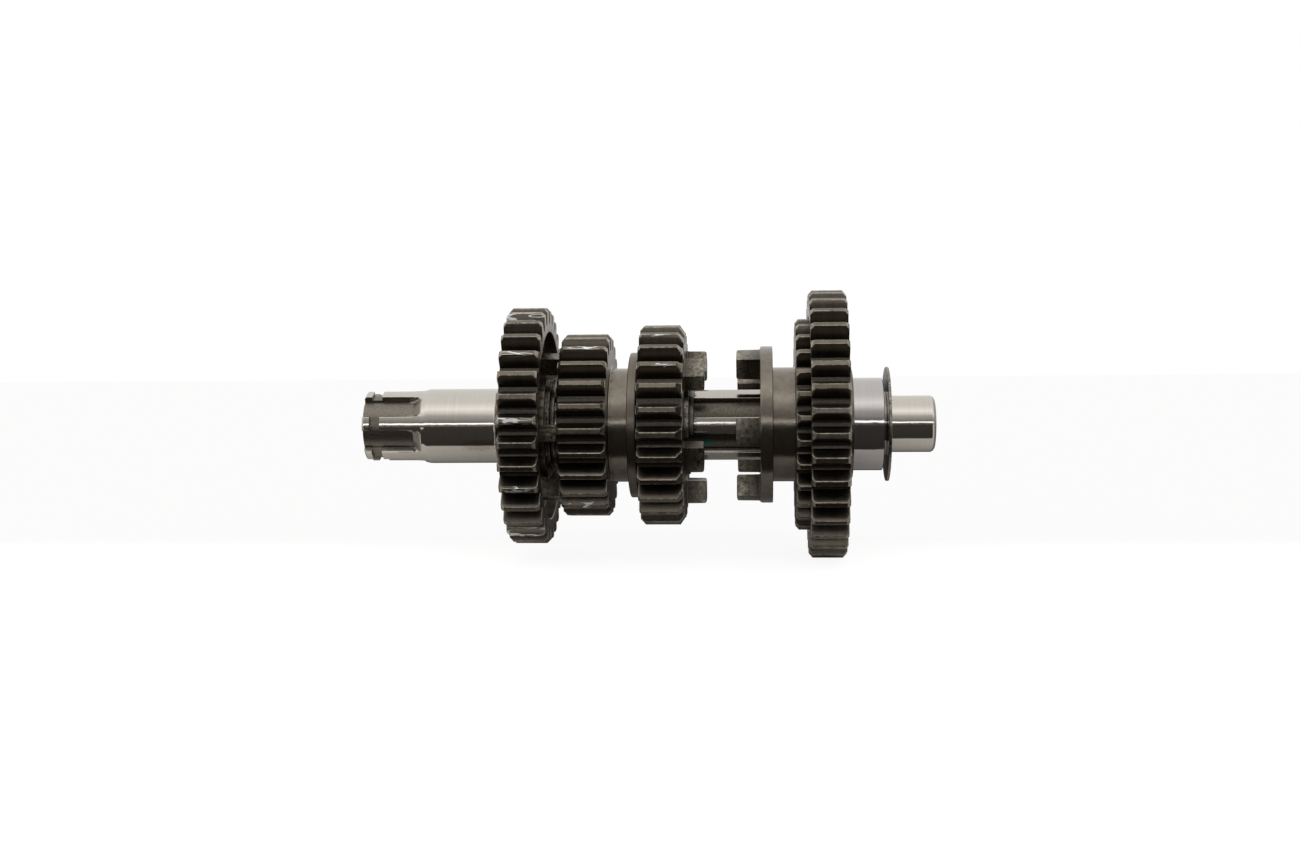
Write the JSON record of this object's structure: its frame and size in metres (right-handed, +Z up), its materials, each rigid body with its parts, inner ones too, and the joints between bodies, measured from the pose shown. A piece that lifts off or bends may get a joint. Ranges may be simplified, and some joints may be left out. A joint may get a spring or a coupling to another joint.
{
  "type": "motorcycle gearbox output shaft with gears",
  "caption": "Splined gearbox output shaft with free and sliding spur gears, dog clutches, fork grooves, bushes and washers.",
  "frame": {"origin": "centre of the 20 mm output journal, on the shaft's axis", "axes": "+X along the shaft towards the 15 mm end pin, +Z up, the picture looks along +Y"},
  "size_m": [0.1515, 0.0708, 0.0708],
  "materials": {
    "ground_steel": "ground, bright",
    "gear_steel": "case hardened, dark, lightly oiled",
    "washer_steel": "stamped, satin",
    "spring_steel": "dark spring steel",
    "bush_steel": "ground, bright"
  },
  "bodies": {
    "shaft": {"output_shaft": "ground_steel", "second_gear_outer_washer": "washer_steel", "second_gear_splined_washer": "washer_steel", "second_gear_circlip": "spring_steel", "fourth_gear_left_circlip": "spring_steel", "fourth_gear_left_washer": "washer_steel", "fourth_gear_bush": "bush_steel", "fourth_gear_right_washer": "washer_steel", "fourth_gear_right_circlip": "spring_steel", "first_gear_thrust_washer": "washer_steel", "first_gear_bush": "bush_steel", "end_washer": "washer_steel"},
    "second": {"second_gear": "gear_steel"},
    "fifth": {"fifth_gear": "gear_steel"},
    "fourth": {"fourth_gear": "gear_steel"},
    "third": {"third_gear": "gear_steel"},
    "first": {"first_gear": "gear_steel"}
  },
  "joints": [
    {"name": "second_gear_spin", "type": "hinge", "parent": "shaft", "child": "second", "pos_m": [0.0193, 0, 0], "axis": [1, 0, 0], "continuous": true},
    {"name": "fifth_gear_slide", "type": "slide", "parent": "shaft", "child": "fifth", "axis": [1, 0, 0], "range_m": [-0.0035, 0]},
    {"name": "fourth_gear_spin", "type": "hinge", "parent": "shaft", "child": "fourth", "pos_m": [0.055, 0, 0], "axis": [1, 0, 0], "continuous": true},
    {"name": "third_gear_slide", "type": "slide", "parent": "shaft", "child": "third", "axis": [1, 0, 0], "range_m": [-0.0117, 0.003]},
    {"name": "first_gear_spin", "type": "hinge", "parent": "shaft", "child": "first", "pos_m": [0.1014, 0, 0], "axis": [1, 0, 0], "continuous": true}
  ]
}
